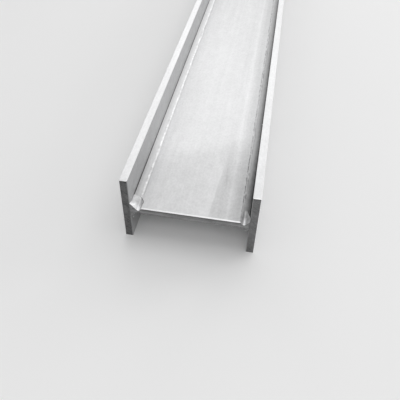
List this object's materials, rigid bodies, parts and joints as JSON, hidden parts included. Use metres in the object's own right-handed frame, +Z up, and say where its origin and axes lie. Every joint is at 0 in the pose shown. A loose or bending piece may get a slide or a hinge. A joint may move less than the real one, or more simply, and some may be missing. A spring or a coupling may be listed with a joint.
{
  "type": "steel h-beam",
  "caption": "Straight H-section beam welded from plate, lying with its web level between upright flanges, with continuous corner welds and sawn, deburred ends.",
  "frame": {"origin": "middle of the footprint, on the level that the beam rests on", "axes": "+Y along the beam, +X across it from the left flange to the right flange, +Z up, square to the web"},
  "size_m": [0.2, 3, 0.115],
  "materials": {
    "web_steel": "blasted and pickled stainless plate, satin grey with soft mottling",
    "flange_steel": "blasted and pickled stainless plate with sawn ends",
    "weld_metal": "pickled weld metal, bright where the ends are dressed"
  },
  "bodies": {
    "root": {"web_plate": "web_steel", "left_flange": "flange_steel", "right_flange": "flange_steel", "upper_left_weld": "weld_metal", "upper_right_weld": "weld_metal", "lower_left_weld": "weld_metal", "lower_right_weld": "weld_metal"}
  },
  "joints": []
}
